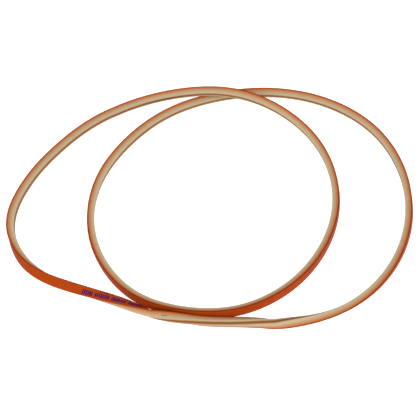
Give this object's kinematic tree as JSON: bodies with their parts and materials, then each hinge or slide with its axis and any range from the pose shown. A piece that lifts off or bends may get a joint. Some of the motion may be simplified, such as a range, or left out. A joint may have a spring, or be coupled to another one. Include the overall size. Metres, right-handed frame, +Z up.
{
  "type": "v belt",
  "caption": "Endless wrapped V belt of the 13 mm class with an orange back and beige flanks, lying loosely coiled in two loops.",
  "frame": {"origin": "on the floor, under the middle of the coil's box", "axes": "+Z up out of the floor the coil lies on, +X along the coil's longest side, +Y towards the place where the belt crosses over itself"},
  "size_m": [0.504, 0.3484, 0.0276],
  "materials": {
    "orange_cover_fabric": "rubber-coated woven cover, satin",
    "beige_jacket_fabric": "dry woven cover, matt",
    "brown_seam_gum": "matt",
    "cushion_rubber": "matt",
    "adhesion_gum": "matt",
    "polyester_cord": "twisted yarn, matt",
    "compression_rubber": "matt"
  },
  "bodies": {
    "root": {"top_cover_outer_ply": "orange_cover_fabric", "top_cover_inner_ply": "orange_cover_fabric", "fabric_jacket": "beige_jacket_fabric", "seam_gum_strip": "brown_seam_gum", "cushion_rubber": "cushion_rubber", "upper_adhesion_gum": "adhesion_gum", "lower_adhesion_gum": "adhesion_gum", "tensile_cord_1": "polyester_cord", "tensile_cord_2": "polyester_cord", "tensile_cord_3": "polyester_cord", "tensile_cord_4": "polyester_cord", "tensile_cord_5": "polyester_cord", "tensile_cord_6": "polyester_cord", "tensile_cord_7": "polyester_cord", "tensile_cord_8": "polyester_cord", "compression_ply_1": "compression_rubber", "compression_ply_2": "compression_rubber", "compression_ply_3": "compression_rubber"}
  },
  "joints": []
}
